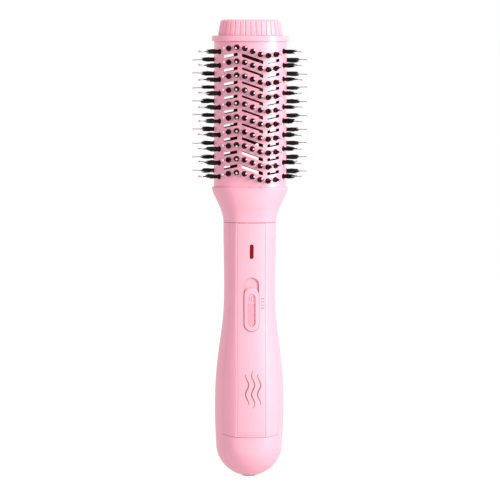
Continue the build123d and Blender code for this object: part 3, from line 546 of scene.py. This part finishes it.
def build_tufts():
    rng = random.Random(7)
    bundles = [bundle(rng) for _ in range(BUNDLES)]
    ball_verts, ball_faces = unit_ball()
    for group, places in tuft_places().items():
        bristles, pins, tips = Gathered(), Gathered(), Gathered()
        for matrix in places:
            mirrored = matrix.determinant() < 0
            verts, faces = bundles[rng.randrange(BUNDLES)]
            spin = Matrix.Rotation(rng.uniform(0, 2 * math.pi), 4, "Y")
            size = rng.uniform(*TUFT_SIZES)
            grow = Matrix.Diagonal((size, 1, size, 1))
            bristles.add(moved(verts, matrix @ spin @ grow), faces, mirrored)
            (verts, faces), end = pin(rng, wanted_lean(matrix))
            pins.add(moved(verts, matrix), faces, mirrored)
            verts = ball_verts * BALL_SIZE + np.array(end) + (0, -BALL_OUT, 0)
            tips.add(moved(verts, matrix), ball_faces, mirrored)
        tufts = bristles.made(f"bristles_{group}", bristle_black, "tuft_black")
        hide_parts(f"tufts_{group}")
        pins.made(f"pins_{group}", pin_grey, "tuft_black")
        tips.made(f"tips_{group}", tip_pale, "trim_pink")


build_tufts()


# ---- print on the front panel ---------------------------------------------------------------

PRINT_PROUD = 0.04
PRINT_SUNK = 0.05
BEFORE_PANEL = 50.0         # the rays that find the panel start this far in front of the axis

# Air mark: each line's place to the side, lowest and highest point.
AIR_LINES = [(-3.6, 54.0, 77.0), (0.9, 51.5, 79.5), (5.4, 54.0, 77.0)]
AIR_LOW = 51.5
AIR_SWING = 1.15
AIR_WAVE = 14.0
AIR_HALF = (0.14, 0.42)     # half width at an end, and how much the middle adds
AIR_STEPS = 64

NUMERALS = [("3", 132.75), ("2", 130.4), ("1", 128.0), ("0", 125.7)]
NUMERAL_X = 8.4
NUMERAL_HEIGHT = 2.3
CAPITAL_SHARE = 0.7         # height of a numeral over the font's size
NUMERAL_WEIGHT = 0.05


def print_on_panel(name, verts, faces, mat):
    """A thin flat print, given as (x, z) points and faces in millimetres, laid on the front panel."""
    panel = nodes["front_panel"].data
    tree = BVHTree.FromPolygons([v.co for v in panel.vertices], [tuple(p.vertices) for p in panel.polygons])
    front, back = [], []
    for x, z in verts:
        hit = tree.ray_cast(Vector((x * MM, -BEFORE_PANEL * MM, z * MM)), Vector((0, 1, 0)))[0]
        front.append((hit.x, hit.y - PRINT_PROUD * MM, hit.z))
        back.append((hit.x, hit.y + PRINT_SUNK * MM, hit.z))
    count = len(verts)
    edges = [edge for face in faces for edge in zip(face, face[1:] + face[:1])]
    inner = set(edges)
    rims = [(a, b) for a, b in edges if (b, a) not in inner]
    solid = [tuple(face) for face in faces]
    solid += [tuple(i + count for i in reversed(face)) for face in faces]
    solid += [(b, a, a + count, b + count) for a, b in rims]
    piece(name, front + back, solid, mat, smooth=False)


def air_lines():
    """Three flowing lines, a generic air mark."""
    verts, faces = [], []
    for x0, low, high in AIR_LINES:
        base = len(verts)
        for step in range(AIR_STEPS + 1):
            t = step / AIR_STEPS
            z = low + (high - low) * t
            angle = 2 * math.pi * (z - AIR_LOW) / AIR_WAVE
            x = x0 + AIR_SWING * math.sin(angle)
            slope = AIR_SWING * math.cos(angle) * 2 * math.pi / AIR_WAVE
            half = AIR_HALF[0] + AIR_HALF[1] * math.sin(math.pi * t) ** 0.6
            length = math.hypot(slope, 1.0)
            verts.append((x - half / length, z + half * slope / length))
            verts.append((x + half / length, z - half * slope / length))
        for step in range(AIR_STEPS):
            a = base + 2 * step
            faces.append([a, a + 1, a + 3, a + 2])
    return verts, faces


def numeral(text, x, z):
    """One numeral as flat (x, z) points and triangles, centred, reading up the handle."""
    curve = bpy.data.curves.new("numeral", "FONT")
    curve.body = text
    curve.size = NUMERAL_HEIGHT / CAPITAL_SHARE
    curve.resolution_u = 3
    curve.offset = NUMERAL_WEIGHT
    obj = linked("numeral", curve)
    mesh = bpy.data.meshes.new_from_object(obj.evaluated_get(bpy.context.evaluated_depsgraph_get()))
    bpy.data.objects.remove(obj)
    bm = bmesh.new()
    bm.from_mesh(mesh)
    bmesh.ops.remove_doubles(bm, verts=bm.verts, dist=1e-5)
    bmesh.ops.triangulate(bm, faces=bm.faces)
    xs = [v.co.x for v in bm.verts]
    ys = [v.co.y for v in bm.verts]
    middle_x, middle_y = (min(xs) + max(xs)) / 2, (min(ys) + max(ys)) / 2
    points = [(x - v.co.y + middle_y, z + v.co.x - middle_x) for v in bm.verts]
    faces = []
    for face in bm.faces:
        corners = [v.index for v in face.verts]
        faces.append(corners if face.normal.z > 0 else corners[::-1])
    bm.free()
    return points, faces


print_on_panel("air_mark", *air_lines(), ink)
for text, z in NUMERALS:
    print_on_panel(f"mark_{text}", *numeral(text, NUMERAL_X, z), ink_pale)


# ---- camera, light and floor ----------------------------------------------------------------

AIM = Vector((0.0002, 0.0, 0.1684))
AZIMUTH = math.radians(-4.8)
ROLL = math.radians(0.2)
DISTANCE = 3.4
EYE_RISE = 0.122
VIEW_WIDTH = 0.3728         # width of the picture at the aim
SENSOR = 36.0

KEY_PLACE = (1.39, -1.25, 0.72)
KEY_AIM = (0, 0, 0.18)
KEY_SIZE = (0.6, 1.5)
KEY_POWER = 60.0
KEY_COLOR = (1.0, 1.0, 0.87)

WHITE = (1.0, 1.0, 1.0, 1.0)
WORLD_STRENGTH = 1.0
FLOOR_TONES = (0.16, 0.17)
FLOOR_RADIUS = 25.0
FLOOR_DROP = 0.0002
FLOOR_GLOW = 0.86


def look_at(obj, target):
    direction = Vector(target) - obj.location
    obj.rotation_mode = "QUATERNION"
    obj.rotation_quaternion = direction.to_track_quat("-Z", "Y")


def set_camera():
    data = bpy.data.cameras.new("camera")
    data.sensor_width = SENSOR
    data.lens = SENSOR * DISTANCE / VIEW_WIDTH
    data.clip_start = 0.05
    data.clip_end = 60.0
    camera = linked("camera", data)
    back = (math.sin(AZIMUTH) * DISTANCE, -math.cos(AZIMUTH) * DISTANCE, EYE_RISE)
    camera.location = AIM + Vector(back)
    look_at(camera, AIM)
    camera.rotation_quaternion = camera.rotation_quaternion @ Quaternion((0, 0, 1), ROLL)
    scene.camera = camera


def set_light():
    data = bpy.data.lights.new("key", "AREA")
    data.shape = "RECTANGLE"
    data.size, data.size_y = KEY_SIZE
    data.energy = KEY_POWER
    data.color = KEY_COLOR
    key = linked("key", data)
    key.location = KEY_PLACE
    look_at(key, KEY_AIM)
    world = bpy.data.worlds.new("studio")
    world.use_nodes = True
    background = world.node_tree.nodes["Background"]
    background.inputs["Color"].default_value = WHITE
    background.inputs["Strength"].default_value = WORLD_STRENGTH
    scene.world = world


def set_floor():
    mat, tree, shader = new_material("studio_floor")
    dark, light = ((tone,) * 3 for tone in FLOOR_TONES)
    mottle = ramp(tree, noise(tree, 3.0).outputs["Fac"], [(0.2, dark), (0.8, light)])
    tree.links.new(mottle, shader.inputs["Base Color"])
    shader.inputs["Emission Color"].default_value = WHITE
    shader.inputs["Emission Strength"].default_value = FLOOR_GLOW
    shader.inputs["Roughness"].default_value = 0.9
    shader.inputs["Specular IOR Level"].default_value = 0.0
    bm = bmesh.new()
    bmesh.ops.create_circle(bm, cap_ends=True, segments=96, radius=FLOOR_RADIUS)
    mesh = bpy.data.meshes.new("studio_floor")
    bm.to_mesh(mesh)
    bm.free()
    mesh.materials.append(mat)
    floor = linked("studio_floor", mesh)
    floor.location = (0, 0, -FLOOR_DROP)


set_camera()
set_light()
set_floor()
